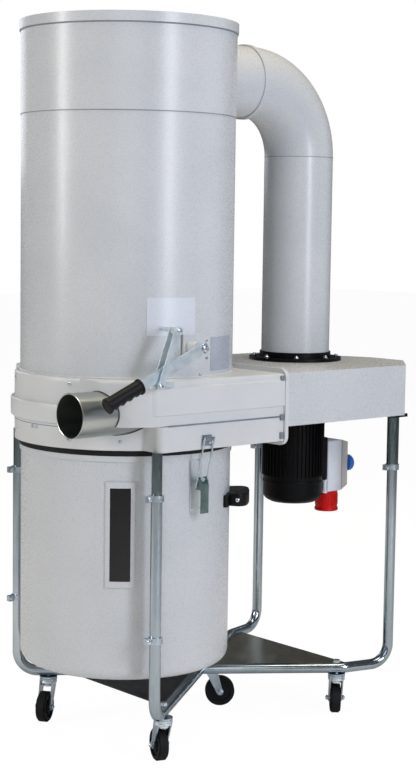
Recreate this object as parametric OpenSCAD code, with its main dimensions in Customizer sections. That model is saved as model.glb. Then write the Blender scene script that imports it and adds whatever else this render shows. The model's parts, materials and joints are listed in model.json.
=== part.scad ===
// Mobile dust extractor: a filter drum on a tangential separator, a drop-down
// collection bin under it, and a side fan box with its duct, motor and tube stand.
// +X runs from the drum towards the fan, -Y is the side with the inlet, Z is up.

/* [Filter drum] */
// Outer radius of the drum
drum_r = 250; // [200:5:300]
// Thickness of the drum, lid and bin sheet
sheet_t = 3; // [2:0.5:4]
// Height of the long lower drum section
drum_low_h = 589; // [400:1:700]
// Height of the short upper drum section
drum_up_h = 212; // [190:1:300]

/* [Separator] */
// Height of the separator's two mouldings together
sep_h = 158; // [140:1:190]
// Radius of the separator's round end
sep_r = 262; // [255:1:275]
// Half width of the separator's square end
sep_half_w = 284; // [275:1:300]
// Thickness of the separator walls
sep_t = 4; // [3:0.5:5]
// Outer radius of the inlet pipe
inlet_r = 50; // [40:1:60]
// Length of pipe that stands free of the separator
inlet_len = 150; // [100:1:180]

/* [Fan box and duct] */
// Height of the fan box
fan_h = 125; // [100:1:140]
// Distance from the drum axis to the duct and motor axis
duct_x = 550; // [500:1:600]
// Outer radius of the duct
duct_r = 87; // [70:1:95]
// Centre-line radius of the elbow
elbow_r = 177; // [160:1:190]
// Radius of the motor
motor_r = 76; // [60:1:85]
// Length of the motor below the fan box
motor_h = 240; // [200:1:270]

/* [Bin] */
// Outer radius of the bin
bin_r = 247; // [240:1:250]
// Height of the bin
bin_h = 513; // [400:1:560]
// Rounding of the bin's bottom edge
bin_fillet = 24; // [10:1:40]

/* [Stand] */
// Height of the separator's underside above the floor
sep_z = 727; // [650:1:800]
// Radius of the stand's tubes
tube_r = 13; // [11:0.5:15]
// Height of the tubes' centre line above the floor
tube_z = 122; // [118:1:130]
// Bend radius of the tubes
bend_r = 50; // [40:1:60]
// Radius of the caster wheels
wheel_r = 37.5; // [35:0.5:38]
// Width of the caster wheels
wheel_w = 24; // [20:1:28]

/* [Hidden] */
$fn = 64;

eps = 0.01;
gap = 0.3;           // air between pieces that are seated on each other
pin_gap = 0.05;      // running clearance of a pin in its hole

// Heights above the floor
sep_top = sep_z + sep_h;
sep_seam = sep_z + 57;           // joint between the two mouldings
seam_gap = 1.5;                  // open line along that joint
drum_seam = sep_top + drum_low_h;
drum_top = drum_seam + drum_up_h;
drum_low_r = drum_r - 1;         // the lower section is rolled a little smaller
fan_top = sep_top;
fan_bot = fan_top - fan_h;
inlet_z = sep_z + 85;
seal_h = 14;
bin_top = sep_z - seal_h;
bin_bot = bin_top - bin_h;
duct_in_z = drum_top - 110;      // centre of the elbow's mouth in the drum
elbow_z = duct_in_z - elbow_r;   // joint between elbow and duct
elbow_in = 24;                   // length of the elbow's mouth inside the drum
leg_joint_z = 633;
bracket_h = 8;

// Places in plan
sep_left = -128;                 // end of the separator's square part
sep_right = 242;
frame_t = 10;                    // thickness of the joint frame
frame_out = 7;                   // how far it stands proud of the separator's walls
frame_up = 11;                   // and of its top and underside
frame_corner = 22;
frame_in = 20;                   // width of its rim inside the separator
fan_left = sep_right + frame_t;
fan_right = 765;
fan_back = 207;
fan_cut = 105;                   // size of the fan box's cut front corner
fan_slant = [123, 277];          // size of its long slanted back corner
inlet_y = -190;
inlet_mouth = sep_left - 26 - inlet_len;
inlet_in = 30;                   // length of the inlet pipe inside the separator
inlet_fit = 60;                  // length of its calibrated end, which takes the hose
inlet_step = 0.8;                // the rest of the pipe is rolled smaller by this
leg_front = [-123, 268];         // legs under the separator, at plus and minus y
leg_rear = [660, 246];           // legs under the fan box
tube_knee = [535, 214];          // where the floor tubes turn towards the rear legs
rim_h = 16;

// Casters: swivel place, direction in which the wheel trails (degrees)
caster_spots = [[-58, -1], [-62, 1], [520, 1], [330, -1]];    // x, and which floor tube
caster_dir = [70, 215, 50, -38];
caster_trail = 26;
head_z = tube_z - tube_r;        // underside of the tubes, where the casters bolt on

// Shaker lever
lever_pivot = [-20, -300, sep_top + 70];
lever_down = 22.9;               // degrees that the lever hangs below level
lever_len = 290;
lever_t = 6;
lever_w = 24;
grip_len = 98;
grip_r = 15;
shaft_r = 8;

// Toggle latches: y, z of the wire's hook, of its pin in the lever, and of the lever's pivot
latch_x = 6;
latch_reach = 11;
latch_hook = [-sep_half_w - latch_reach, sep_z + 26];
latch_pin = [-bin_r - 19, sep_z - 88];
latch_arm = 18;
latch_pivot = latch_pin + latch_arm * (latch_hook - latch_pin) / norm(latch_hook - latch_pin);
latch_w = 22;
latch_pin_r = 2.5;
wire_r = 2;
hook_lip = 3;                    // room past the wire and the lip that holds it

window_a = -130.7;
window_z = [430, 641];
window_half_a = 5.4;
handle_a = -40;
handle_z = 566;
handle_h = 40;
handle_out = 30;                 // finger room behind the handle
handle_t = 17;
handle_half_a = 20;

paint = "#C3C7CA";
zinc = "#AEB9C4";
rubber = "#17181A";

// ---------- shared shapes ----------
module tube_z(r, t, z0, z1) {
    translate([0, 0, z0]) difference() {
        cylinder(r = r, h = z1 - z0);
        translate([0, 0, -1]) cylinder(r = r - t, h = z1 - z0 + 2);
    }
}

module rod(a, b, r) {
    d = b - a;
    translate(a) rotate([0, atan2(norm([d[0], d[1]]), d[2]), atan2(d[1], d[0])])
        cylinder(r = r, h = norm(d));
}

function unit(v) = v / norm(v);

// A round bar that follows straight lines, with a bend of radius rb at each corner.
// Each bend is a hair thicker than the bar and takes in the ends of both straights.
module bent_bar(pts, r, rb) {
    lap = 1.5;
    n = len(pts);
    dirs = [for (i = [0 : n - 2]) unit(pts[i + 1] - pts[i])];
    turn = [for (i = [0 : n - 1]) i == 0 || i == n - 1 ? 0 : acos(dirs[i - 1] * dirs[i])];
    cut = [for (a = turn) rb * tan(a / 2)];
    for (i = [0 : n - 2])
        rod(pts[i] + dirs[i] * max(0, cut[i] - lap), pts[i + 1] - dirs[i] * max(0, cut[i + 1] - lap), r);
    for (i = [1 : n - 2]) {
        centre = pts[i] + unit(dirs[i] - dirs[i - 1]) * rb / cos(turn[i] / 2);
        e1 = unit(pts[i] - dirs[i - 1] * cut[i] - centre);
        e2 = dirs[i - 1];
        e3 = cross(e1, e2);
        multmatrix([[e1[0], e2[0], e3[0], centre[0]],
                    [e1[1], e2[1], e3[1], centre[1]],
                    [e1[2], e2[2], e3[2], centre[2]],
                    [0, 0, 0, 1]])
            rotate_extrude(angle = turn[i]) translate([rb, 0]) circle(r = r + 0.15);
    }
}

// A piece of ring between two angles
module ring_part(r0, r1, a0, a1, z0, z1) {
    translate([0, 0, z0]) rotate([0, 0, a0]) rotate_extrude(angle = a1 - a0)
        translate([r0, 0]) square([r1 - r0, z1 - z0]);
}

// ---------- filter drum ----------
module drum_lid() color(paint) difference() {
    translate([0, 0, drum_top - rim_h - 6]) cylinder(r = drum_r + sheet_t + gap, h = rim_h + 6);
    translate([0, 0, drum_top - rim_h - 7]) cylinder(r = drum_r + gap, h = rim_h + 7 - sheet_t);
}

module drum_upper() color(paint) difference() {
    tube_z(drum_r, sheet_t, drum_seam, drum_top - sheet_t);
    translate([0, 0, duct_in_z]) rotate([0, 90, 0]) cylinder(r = duct_r + gap, h = drum_r + 10);
}

module drum_lower() color(paint) {
    tube_z(drum_low_r, sheet_t - 1, sep_top, drum_seam);
}

// ---------- duct ----------
module elbow() color(paint) {
    translate([duct_x - elbow_r, 0, elbow_z]) rotate([90, 0, 0])
        rotate_extrude(angle = 90) translate([elbow_r, 0]) difference() {
            circle(r = duct_r);
            circle(r = duct_r - sheet_t);
        }
    translate([drum_r - elbow_in, 0, duct_in_z]) rotate([0, 90, 0])
        tube_z(duct_r, sheet_t, 0, duct_x - elbow_r - drum_r + elbow_in);
}

module elbow_collar() color(paint)
    translate([drum_r + 98, 0, duct_in_z]) rotate([0, 90, 0])
        tube_z(duct_r + 4, 4 - gap, 0, 14);

module duct_pipe() color(paint) tube_at_duct(duct_r, sheet_t, fan_top, elbow_z);

module tube_at_duct(r, t, z0, z1) translate([duct_x, 0, 0]) tube_z(r, t, z0, z1);

module duct_flange() color(rubber) {
    tube_at_duct(duct_r + 31, 31 - gap, fan_top, fan_top + 8);
    tube_at_duct(duct_r + 4, 4 - gap, fan_top + 8 - eps, fan_top + 22);
}

// ---------- fan box ----------
module fan_plan(inset) polygon([
    [fan_left, -sep_half_w + inset],
    [fan_right - fan_cut - inset * 0.41, -sep_half_w + inset],
    [fan_right - inset, -sep_half_w + fan_cut + inset * 0.41],
    [fan_right - inset, fan_back - fan_slant[1] - inset * 0.21],
    [fan_right - fan_slant[0] - inset * 0.65, fan_back - inset],
    [fan_left, fan_back - inset]]);

module fan_box() color(paint) translate([0, 0, fan_bot]) difference() {
    linear_extrude(fan_h - sheet_t) fan_plan(0);
    translate([0, 0, sheet_t]) linear_extrude(fan_h) difference() {
        fan_plan(sheet_t);
        translate([fan_left - 1, -sep_half_w]) square([sheet_t + 1, 2 * sep_half_w]);
    }
}

module fan_box_cover() color(paint) difference() {
    translate([0, 0, fan_top - sheet_t]) linear_extrude(sheet_t) fan_plan(0);
    translate([duct_x, 0, fan_top - 10]) cylinder(r = duct_r - sheet_t, h = 20);
}

// Frame that clamps the fan box to the separator, cut back where the drum and bin stand
module joint_frame() color(paint) difference() {
    translate([sep_right, 0, 0]) rotate([90, 0, 90]) linear_extrude(frame_t) difference() {
        round_rect(-sep_half_w - frame_out, sep_half_w + frame_out,
                   sep_z - frame_up, sep_top + frame_up, frame_corner);
        round_rect(frame_in - sep_half_w, sep_half_w - frame_in,
                   sep_z + frame_in, sep_top - frame_in, 4);
    }
    translate([0, 0, sep_top]) cylinder(r = drum_low_r + gap, h = 50);
    translate([0, 0, sep_z - 50]) cylinder(r = bin_r + 4 + gap, h = 50);
}

module round_rect(x0, x1, y0, y1, r) {
    translate([x0 + r, y0]) square([x1 - x0 - 2 * r, y1 - y0]);
    translate([x0, y0 + r]) square([x1 - x0, y1 - y0 - 2 * r]);
    for (x = [x0 + r, x1 - r], y = [y0 + r, y1 - r]) translate([x, y]) circle(r = r);
}

// ---------- separator ----------
module sep_plan(grow) {
    corner = 18 + grow;
    intersection() {
        circle(r = sep_r + grow, $fn = 128);
        translate([-sep_r - 50, -sep_r - 50]) square([sep_right + sep_r + 50, 2 * sep_r + 100]);
    }
    translate([sep_left - grow + corner, -sep_half_w - grow])
        square([sep_right - sep_left + grow - corner, 2 * (sep_half_w + grow)]);
    translate([sep_left - grow, -sep_half_w - grow + corner])
        square([corner + 1, 2 * (sep_half_w + grow - corner)]);
    for (s = [-1, 1])
        translate([sep_left - grow + corner, s * (sep_half_w + grow - corner)]) circle(r = corner);
}

module inlet_hole() translate([-sep_r - 100, inlet_y, inlet_z]) rotate([0, 90, 0])
    cylinder(r = inlet_r - inlet_step + gap, h = sep_r + 100);

module separator_upper() color(paint) difference() {
    union() {
        translate([0, 0, sep_seam + seam_gap]) linear_extrude(sep_top - sep_seam - seam_gap) sep_plan(0);
        translate([0, 0, sep_z + 78]) linear_extrude(51) sep_plan(9);
    }
    translate([0, 0, sep_seam]) linear_extrude(sep_top - sep_seam - sep_t) sep_plan(-sep_t);
    translate([0, 0, sep_top - 20]) cylinder(r = drum_r - 10, h = 40);
    inlet_hole();
}

module separator_lower() color(paint) difference() {
    translate([0, 0, sep_z]) linear_extrude(sep_seam - sep_z) sep_plan(0);
    translate([0, 0, sep_z + sep_t]) linear_extrude(sep_h) sep_plan(-sep_t);
    translate([0, 0, sep_z - 1]) cylinder(r = bin_r - 10, h = 20);
    inlet_hole();
}

module inlet_pipe() color(zinc)
    translate([inlet_mouth, inlet_y, inlet_z]) rotate([0, 90, 0]) difference() {
        union() {
            cylinder(r = inlet_r, h = inlet_fit);
            cylinder(r = inlet_r - inlet_step, h = inlet_len + inlet_in);
        }
        translate([0, 0, -1]) cylinder(r = inlet_r - 2, h = inlet_len + inlet_in + 2);
    }

// ---------- bin ----------
module bin_seal() color(rubber) difference() {
    translate([0, 0, bin_top]) cylinder(r = bin_r + 4, h = seal_h);
    translate([0, 0, bin_top - 1]) cylinder(r = bin_r - 9, h = seal_h + 2);
}

module bin_wall_profile(out) {
    f = bin_fillet - out;
    difference() {
        square([bin_r - out, bin_h - out]);
        translate([bin_r - out - f, -1]) square([f + 1, f + 1]);
    }
    translate([bin_r - out - f, f]) circle(r = f);
}

module collection_bin() color(paint) translate([0, 0, bin_bot]) difference() {
    union() {
        rotate_extrude($fn = 128) intersection() {
            bin_wall_profile(0);
            square([bin_r, bin_h]);
        }
        translate([0, 0, bin_h - 13]) cylinder(r = bin_r + 3, h = 13);
    }
    translate([0, 0, sheet_t]) rotate_extrude($fn = 128) intersection() {
        translate([0, 0]) bin_wall_profile(sheet_t);
        square([bin_r, bin_h]);
    }
    translate([0, 0, bin_h - 20]) cylinder(r = bin_r - sheet_t, h = 30);
    ring_part(bin_r - 20, bin_r + 20, window_a - window_half_a, window_a + window_half_a,
              window_z[0] - bin_bot, window_z[1] - bin_bot);
}

module window_frame() color(paint) difference() {
    ring_part(bin_r + gap, bin_r + 3, window_a - window_half_a - 2.2, window_a + window_half_a + 2.2,
              window_z[0] - 14, window_z[1] + 14);
    ring_part(bin_r - 20, bin_r + 20, window_a - window_half_a, window_a + window_half_a,
              window_z[0], window_z[1]);
}

module sight_window() color(rubber)
    ring_part(bin_r - 2, bin_r + 1, window_a - window_half_a + 0.07, window_a + window_half_a - 0.07,
              window_z[0] + gap, window_z[1] - gap);

module bin_handle() color(rubber) {
    ring_part(bin_r + handle_out, bin_r + handle_out + handle_t,
              handle_a - handle_half_a, handle_a + handle_half_a, handle_z, handle_z + handle_h);
    for (s = [-1, 1]) {
        foot_a = handle_a + s * (handle_half_a - 2.2);
        ring_part(bin_r + gap, bin_r + handle_out + 1, foot_a - 2.2, foot_a + 2.2,
                  handle_z - 4, handle_z + handle_h - 4);
    }
}

// ---------- toggle latches ----------
module both_sides() {
    children();
    mirror([0, 1, 0]) children();
}

module latch_plates() color(zinc) both_sides() translate([latch_x, 0, 0]) {
    face = -bin_r - gap - 2.5;
    translate([-17, face, latch_pivot[1] - 78]) cube([34, 2.5, 118]);
    translate([-4, latch_pivot[0] - 3.5, latch_pivot[1] - 4]) cube([8, face + 1 + 3.5 - latch_pivot[0], 8]);
    translate([-latch_w / 2, latch_pivot[0], latch_pivot[1]]) rotate([0, 90, 0])
        cylinder(r = latch_pin_r, h = latch_w);
}

module latch_keepers() color(zinc) both_sides() translate([latch_x, 0, 0]) {
    face = -sep_half_w - gap - 2.5;
    lip = latch_hook[0] - wire_r - hook_lip;
    shelf = latch_hook[1] - wire_r - gap - 3;
    translate([-14, face, sep_z + 8]) cube([28, 2.5, 24]);
    translate([-10, lip, shelf]) cube([20, face + 1 - lip, 3]);
    translate([-10, lip, shelf]) cube([20, 2, latch_hook[1] - shelf]);
}

module latch_lever() translate([latch_x, 0, 0]) difference() {
    plate_y = latch_pivot[0] - 11;
    union() {
        translate([-latch_w / 2, plate_y, latch_pivot[1] - 76]) cube([latch_w, 3, 66]);
        for (s = [-1, 1]) translate([s * (latch_w / 2 - 1.5) - 1.5, 0, 0]) {
            translate([0, plate_y + 1, latch_pin[1] - 6])
                cube([3, latch_pin[0] + 5 - plate_y - 1, latch_pivot[1] - latch_pin[1] + 6]);
            translate([0, latch_pivot[0], latch_pivot[1]]) rotate([0, 90, 0]) cylinder(r = 6, h = 3);
        }
    }
    translate([-50, latch_pivot[0], latch_pivot[1]]) rotate([0, 90, 0])
        cylinder(r = latch_pin_r + pin_gap, h = 100);
    translate([-50, latch_pin[0], latch_pin[1]]) rotate([0, 90, 0])
        cylinder(r = wire_r + pin_gap, h = 100);
}

module latch_bail() translate([latch_x, 0, 0]) {
    x = latch_w / 2 + 1 + wire_r;
    for (s = [-1, 1]) {
        rod([s * x, latch_pin[0], latch_pin[1]], [s * x, latch_hook[0], latch_hook[1]], wire_r);
        translate([s * x, latch_pin[0], latch_pin[1]]) sphere(r = wire_r);
        translate([s * x, latch_hook[0], latch_hook[1]]) sphere(r = wire_r);
    }
    rod([-x, latch_pin[0], latch_pin[1]], [x, latch_pin[0], latch_pin[1]], wire_r);
    rod([-x, latch_hook[0], latch_hook[1]], [x, latch_hook[0], latch_hook[1]], wire_r);
}

// ---------- motor ----------
motor_cover_h = 54;
module motor_body() color(rubber) translate([duct_x, 0, fan_bot - motor_h + motor_cover_h])
    cylinder(r = motor_r, h = motor_h - motor_cover_h);

module motor_fan_cover() color(rubber) translate([duct_x, 0, fan_bot - motor_h]) {
    rotate_extrude() {
        square([motor_r - 18, 20]);
        translate([0, 18]) square([motor_r, motor_cover_h - 18]);
        intersection() {
            translate([motor_r - 18, 18]) circle(r = 18);
            square([motor_r, 20]);
        }
    }
}

box_z = fan_bot - 223;            // underside of the switch box
box_out = 81;                    // how far it stands out from the motor's side
box_in = 12;                     // how far it reaches round the motor
plug_off = 39;                   // from the motor's side to the middle of the power inlet
plug_h = 55;
module switch_box() color("#B9BCC6") difference() {
    translate([duct_x + motor_r - box_in, -48, box_z]) cube([box_in + box_out, 96, 134]);
    translate([duct_x, 0, box_z - 1]) cylinder(r = motor_r + gap, h = 200);
}

module switch_cap() color("#3F6FB5") translate([duct_x + motor_r + box_out, -22, box_z + 67])
    rotate([0, 90, 0]) cylinder(r = 22, h = 20);

module plug_inlet() color("#C8100F") difference() {
    translate([duct_x + motor_r + plug_off, -10, box_z - plug_h]) cylinder(r = 29, h = plug_h);
    translate([duct_x + motor_r + plug_off, -10, box_z - plug_h - 1]) cylinder(r = 25, h = 41);
}

// ---------- stand ----------
module leg_stubs() color(zinc) for (s = [-1, 1])
    translate([leg_front[0], s * leg_front[1], leg_joint_z])
        cylinder(r = tube_r - 1, h = sep_z - leg_joint_z);

module leg_sleeves() color(zinc) for (s = [-1, 1])
    translate([leg_rear[0], s * leg_rear[1], leg_joint_z])
        cylinder(r = tube_r + 2, h = fan_bot - bracket_h - leg_joint_z);

// The bracket on the plus y side reaches out from under the slanted corner
module stand_brackets() color(rubber) {
    translate([leg_rear[0] - 18, -leg_rear[1] - 17, fan_bot - bracket_h]) cube([52, 34, bracket_h]);
    translate([leg_rear[0] - 60, leg_rear[1] - 65, fan_bot - bracket_h]) cube([78, 82, bracket_h]);
}

module clamp_ring(z, r) translate([0, 0, z]) difference() {
    union() {
        cylinder(r = r + 4, h = 14);
        translate([-r - 16, -6, 0]) cube([18, 12, 14]);
    }
    translate([0, 0, -1]) cylinder(r = r + gap, h = 16);
}

module leg_clamps() color(zinc) for (s = [-1, 1]) {
    translate([leg_front[0], s * leg_front[1], 0]) {
        clamp_ring(leg_joint_z - 14, tube_r);
        clamp_ring(300, tube_r);
    }
    translate([leg_rear[0], s * leg_rear[1], 0]) clamp_ring(leg_joint_z - 14 - gap, tube_r);
}

// The floor tubes run straight from each front leg to the far rear knee and cross midway
run_dir = unit([tube_knee[0] - leg_front[0], -tube_knee[1] - leg_front[1]]);
cross_x = leg_front[0] + leg_front[1] * run_dir[0] / -run_dir[1];
function on_run(x, s) = [x, s * (cross_x - x) * -run_dir[1] / run_dir[0]];
caster_at = [for (c = caster_spots) on_run(c[0], c[1])];

function stand_path(s) = [
    [leg_front[0], s * leg_front[1], leg_joint_z],
    [leg_front[0], s * leg_front[1], tube_z],
    [tube_knee[0], -s * tube_knee[1], tube_z],
    [leg_rear[0], -s * leg_rear[1], tube_z],
    [leg_rear[0], -s * leg_rear[1], leg_joint_z]];

module caster_holes() for (c = caster_at)
    translate([c[0], c[1], head_z - 20]) cylinder(r = 5 + gap, h = 60);

module stand_tube_long() color(zinc) difference() {
    bent_bar(stand_path(1), tube_r, bend_r);
    caster_holes();
}

module stand_tube_cross() color(zinc) difference() {
    bent_bar(stand_path(-1), tube_r, bend_r);
    rod([leg_front[0], leg_front[1], tube_z], [tube_knee[0], -tube_knee[1], tube_z], tube_r + gap);
    caster_holes();
}

// Outline of a tray's edge along the floor tube that runs to minus y, knee included
tray_side = tube_r + gap;
tray_t = 3;
tray_fold = 14;
tray_tip = tray_side / -run_dir[1];
knee_dir = unit([leg_rear[0] - tube_knee[0], -leg_rear[1] + tube_knee[1]]);
knee_cut = bend_r * tan(acos(run_dir * knee_dir) / 2) + 1;
function inner(d) = [-d[1], d[0]] * tray_side;
knee = [tube_knee[0], -tube_knee[1]];
knee_in = knee - run_dir * knee_cut + inner(run_dir);
knee_out = knee + knee_dir * knee_cut + inner(knee_dir);
function flip(p) = [p[0], -p[1]];

module tray(outline, end_x, end_half, back) color(zinc) {
    translate([0, 0, tube_z - tray_t / 2]) linear_extrude(tray_t) polygon(outline);
    translate([back ? end_x - tray_t : end_x, -end_half, tube_z - tray_fold])
        cube([tray_t, 2 * end_half, tray_fold]);
}

front_tray_x = -32;
rear_tray_x = 570;
module front_tray() {
    half = (cross_x - tray_tip - front_tray_x) * -run_dir[1] / run_dir[0];
    tray([[cross_x - tray_tip, 0], [front_tray_x, half], [front_tray_x, -half]],
         front_tray_x, half - 20, false);
}

module rear_tray() {
    end = knee_out + knee_dir * (rear_tray_x - knee_out[0]) / knee_dir[0];
    tray([[cross_x + tray_tip, 0], knee_in, knee_out, end, flip(end), flip(knee_out), flip(knee_in)],
         rear_tray_x, -end[1] - 20, true);
}

// ---------- casters ----------
module caster_mounts() color(zinc) for (c = caster_at) translate([c[0], c[1], 0]) {
    translate([0, 0, head_z - 3]) cylinder(r = 22, h = 3 - gap);
    translate([0, 0, head_z - 16]) cylinder(r = 5, h = tube_r * 2 + 22);
    translate([0, 0, head_z + 2 * tube_r + gap]) cylinder(r = 9, h = 7, $fn = 6);
}

module caster_fork(i) color(zinc)
    translate([caster_at[i][0], caster_at[i][1], 0]) rotate([0, 0, caster_dir[i]]) {
        difference() {
            translate([0, 0, head_z - 11]) cylinder(r = 20, h = 7.5);
            translate([0, 0, head_z - 30]) cylinder(r = 5 + pin_gap, h = 40);
        }
        for (s = [-1, 1]) translate([0, s * (wheel_w / 2 + 3.5) - 1.5, 0]) rotate([90, 0, 0])
            translate([0, 0, -3]) linear_extrude(3) {
                polygon([[-17, head_z - 9], [17, head_z - 9], [caster_trail + 8, wheel_r - 4],
                         [caster_trail - 8, wheel_r - 4]]);
                translate([caster_trail, wheel_r]) circle(r = 9);
            }
        for (s = [-1, 1]) translate([-17, s * (wheel_w / 2 + 2) - (s < 0 ? 3 : 0), head_z - 11])
            cube([34, 3, 7]);
        translate([caster_trail, wheel_w / 2 + 6, wheel_r]) rotate([90, 0, 0])
            cylinder(r = 4, h = wheel_w + 12);
    }

module caster_wheel(i) color(rubber)
    translate([caster_at[i][0], caster_at[i][1], 0]) rotate([0, 0, caster_dir[i]])
        translate([caster_trail, 0, wheel_r]) rotate([90, 0, 0]) rotate_extrude() difference() {
            union() {
                translate([4 + pin_gap, -wheel_w / 2]) square([12, wheel_w]);
                translate([14, -wheel_w / 2 + 4]) square([14, wheel_w - 8]);
                translate([27, -wheel_w / 2]) square([wheel_r - 27 - 3, wheel_w]);
                translate([27, -wheel_w / 2 + 3]) square([wheel_r - 27, wheel_w - 6]);
            }
        }

// ---------- filter shaker ----------
module lever_bearing() color(zinc) difference() {
    union() {
        translate([lever_pivot[0] - 20, -drum_r - 4, lever_pivot[2] - 28]) cube([40, 4 + 1, 56]);
        translate([lever_pivot[0], -drum_r + 1, lever_pivot[2]]) rotate([90, 0, 0])
            cylinder(r = 13, h = 34);
    }
    cylinder(r = drum_low_r + gap, h = drum_seam);
    translate([lever_pivot[0], 0, lever_pivot[2]]) rotate([90, 0, 0])
        cylinder(r = shaft_r + pin_gap, h = 400);
}

module on_lever() translate(lever_pivot) rotate([0, -lever_down, 0]) children();

module shaker_lever() color(zinc) {
    on_lever() {
        translate([-lever_len + grip_len - 40, -lever_t / 2, -lever_w / 2])
            cube([lever_len - grip_len + 40, lever_t, lever_w]);
        rotate([90, 0, 0]) translate([0, 0, -lever_t / 2]) cylinder(r = lever_w / 2, h = lever_t);
    }
    translate([lever_pivot[0], -drum_r - 8, lever_pivot[2]]) rotate([90, 0, 0])
        cylinder(r = shaft_r, h = -lever_pivot[1] - drum_r - 8);
}

module lever_grip() color(rubber) on_lever() difference() {
    translate([-lever_len, 0, 0]) rotate([0, 90, 0]) cylinder(r = grip_r, h = grip_len);
    translate([-lever_len + grip_len - 40 - gap, -lever_t / 2 - gap, -lever_w / 2 - gap])
        cube([60, lever_t + 2 * gap, lever_w + 2 * gap]);
}

guide_foot = [-150, sep_top - 13];   // x, z
guide_head = [-100, sep_top + 120];
guide_foot_w = 62;                   // reaches back onto the separator's flat wall
module lever_guide() color(zinc) difference() {
    union() {
        for (y = [-291.5, -311.5]) translate([0, y + 3, 0]) rotate([90, 0, 0]) linear_extrude(3)
            polygon([guide_foot + [-9, 0], guide_foot + [9, 0], guide_head + [9, 0], guide_head + [-9, 0]]);
        translate([guide_foot[0] - 9, -311.5, guide_foot[1]]) cube([18, 23, 7]);
        translate([guide_foot[0] - 9, -291.5, guide_foot[1]])
            cube([guide_foot_w, 291.5 - sep_half_w - gap, 12]);
        translate([guide_head[0] - 9, -311.5, guide_head[1] - 14]) cube([18, 23, 14]);
        rod([guide_head[0], -296, guide_head[1] - 7],
            [guide_head[0] + 15, 20 - drum_r, guide_head[1] - 7], 5);
    }
    cylinder(r = drum_low_r + gap, h = drum_seam);
}

// ---------- the whole part ----------
// The origin lies on the floor, under the middle of the whole part's box
mid_x = (fan_right + inlet_mouth) / 2;
mid_y = (lever_pivot[1] - grip_r - latch_hook[0] + wire_r + hook_lip) / 2;
module placed() translate([-mid_x, -mid_y, 0]) children();

placed() drum_lid();
placed() drum_upper();
placed() drum_lower();
placed() elbow();
placed() elbow_collar();
placed() duct_pipe();
placed() duct_flange();
placed() fan_box();
placed() fan_box_cover();
placed() joint_frame();
placed() separator_upper();
placed() separator_lower();
placed() inlet_pipe();
placed() bin_seal();
placed() collection_bin();
placed() window_frame();
placed() sight_window();
placed() latch_plates();
placed() latch_keepers();
placed() color(zinc) latch_lever();  // front_latch_lever
placed() color(zinc) latch_bail();  // front_latch_bail
placed() color(zinc) mirror([0, 1, 0]) latch_lever();  // rear_latch_lever
placed() color(zinc) mirror([0, 1, 0]) latch_bail();  // rear_latch_bail
placed() bin_handle();
placed() motor_body();
placed() motor_fan_cover();
placed() switch_box();
placed() switch_cap();
placed() plug_inlet();
placed() leg_stubs();
placed() leg_sleeves();
placed() leg_clamps();
placed() stand_brackets();
placed() stand_tube_long();
placed() stand_tube_cross();
placed() front_tray();
placed() rear_tray();
placed() caster_mounts();
for (i = [0 : 3]) {
    placed() caster_fork(i);
    placed() caster_wheel(i);
}
placed() lever_bearing();
placed() shaker_lever();
placed() lever_grip();
placed() lever_guide();
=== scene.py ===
"""Mobile dust extractor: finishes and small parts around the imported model.

+X runs from the filter drum to the fan box, -Y is the side with the inlet and the
shaker lever, Z is up and the floor is at 0. Lengths are in metres, and in millimetres
where a comment says so.
"""

import json
import math

import bpy
from mathutils import Matrix, Vector


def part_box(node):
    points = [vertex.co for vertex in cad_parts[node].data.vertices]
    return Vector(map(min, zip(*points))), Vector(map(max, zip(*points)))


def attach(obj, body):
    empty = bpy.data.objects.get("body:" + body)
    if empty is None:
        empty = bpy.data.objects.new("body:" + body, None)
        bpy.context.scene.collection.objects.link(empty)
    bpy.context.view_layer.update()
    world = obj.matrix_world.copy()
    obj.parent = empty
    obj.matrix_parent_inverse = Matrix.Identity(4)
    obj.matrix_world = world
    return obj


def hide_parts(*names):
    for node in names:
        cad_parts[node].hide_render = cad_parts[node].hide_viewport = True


MM = 0.001
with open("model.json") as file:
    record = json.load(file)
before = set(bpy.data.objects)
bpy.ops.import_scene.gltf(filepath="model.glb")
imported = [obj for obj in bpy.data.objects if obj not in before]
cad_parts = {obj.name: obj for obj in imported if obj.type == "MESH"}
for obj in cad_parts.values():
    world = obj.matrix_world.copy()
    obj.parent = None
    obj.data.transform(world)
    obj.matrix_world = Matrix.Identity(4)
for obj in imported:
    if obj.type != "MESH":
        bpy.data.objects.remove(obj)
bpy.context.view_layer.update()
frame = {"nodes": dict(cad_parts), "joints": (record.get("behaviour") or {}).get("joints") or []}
turning_points = {joint["name"]: Vector(joint["pos_m"]) for joint in frame["joints"]}


def middle(node):
    """The middle of a node's box."""
    low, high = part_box(node)
    return (low + high) / 2


def size(node):
    """The sides of a node's box."""
    low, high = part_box(node)
    return high - low


# ---------------------------------------------------------------- places in the frame
DRUM = middle("drum_lower")
DRUM_R = size("drum_lower").x / 2
DRUM_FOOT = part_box("drum_lower")[0].z
DRUM_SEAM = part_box("drum_lower")[1].z
LID_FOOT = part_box("drum_lid")[0].z
DUCT = middle("duct_pipe")
DUCT_R = size("duct_pipe").x / 2
BIN_R = size("drum_upper").x / 2 - 3 * MM      # the bin stands a little inside the drum above it
SEAM_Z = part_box("separator_lower")[1].z
MOTOR_R = size("motor_body").x / 2


# ---------------------------------------------------------------- materials
def colour(code):
    """An sRGB hex code as linear RGBA."""
    parts = [int(code[i:i + 2], 16) / 255 for i in (1, 3, 5)]
    linear = [c / 12.92 if c <= 0.04045 else ((c + 0.055) / 1.055) ** 2.4 for c in parts]
    return (*linear, 1.0)


def add(tree, kind, settings=None, links=None):
    """One shader node: settings go to sockets or properties, links come from other sockets."""
    made = tree.nodes.new(kind)
    for key, value in (settings or {}).items():
        if key in made.inputs:
            made.inputs[key].default_value = value
        else:
            setattr(made, key, value)
    for key, source in (links or {}).items():
        tree.links.new(source, made.inputs[key])
    return made


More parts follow.
